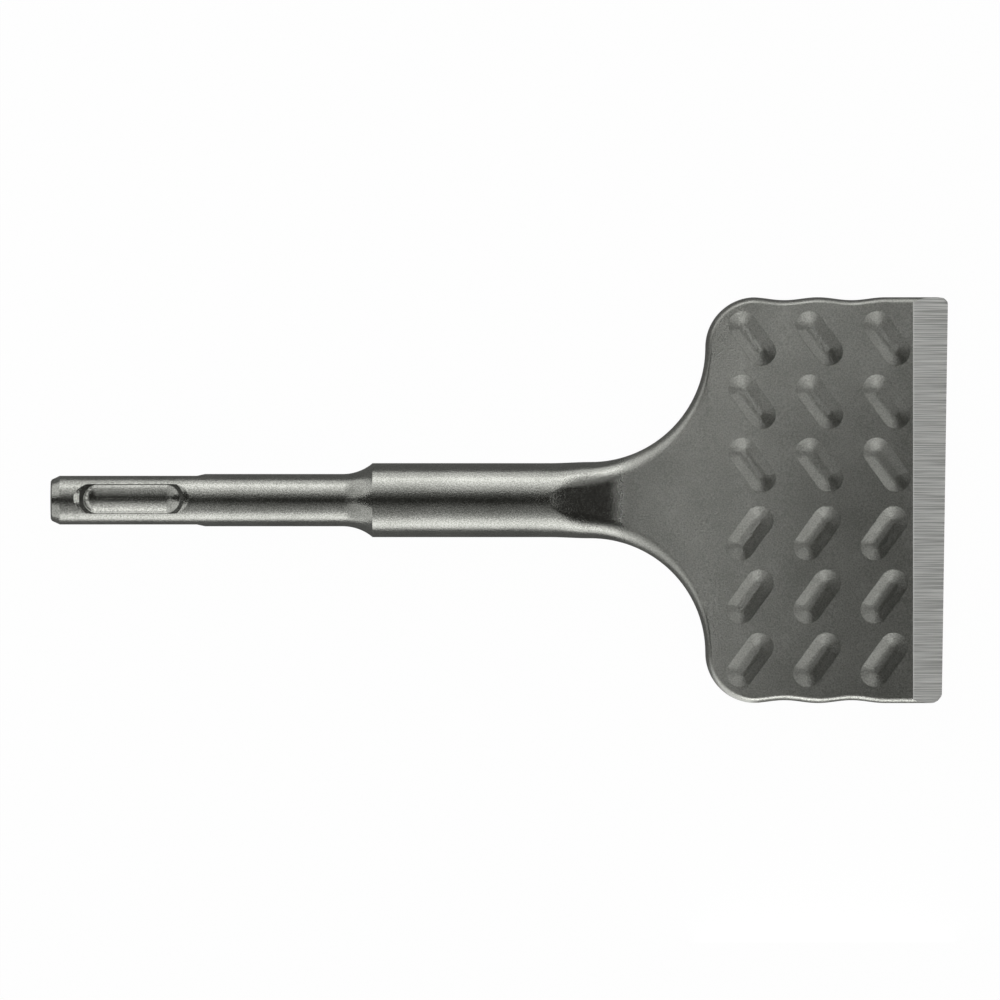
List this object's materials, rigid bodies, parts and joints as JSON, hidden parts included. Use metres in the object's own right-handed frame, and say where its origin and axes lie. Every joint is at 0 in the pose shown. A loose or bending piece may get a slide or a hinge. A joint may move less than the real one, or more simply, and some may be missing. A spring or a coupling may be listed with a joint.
{
  "type": "wide flat chisel bit",
  "caption": "One-piece forged wide flat chisel bit for an electric hammer: slotted round shank, collar, flared ribbed blade and a single ground bevel edge.",
  "frame": {"origin": "centre of the struck end face of the shank", "axes": "+X along the axis from the struck end to the cutting edge, +Y across the blade, +Z out of the ribbed face"},
  "size_m": [0.1711, 0.0776, 0.0142],
  "materials": {
    "blasted_steel": "blasted satin steel, bright ground bevel"
  },
  "bodies": {
    "root": {"wide_chisel": "blasted_steel"}
  },
  "joints": []
}
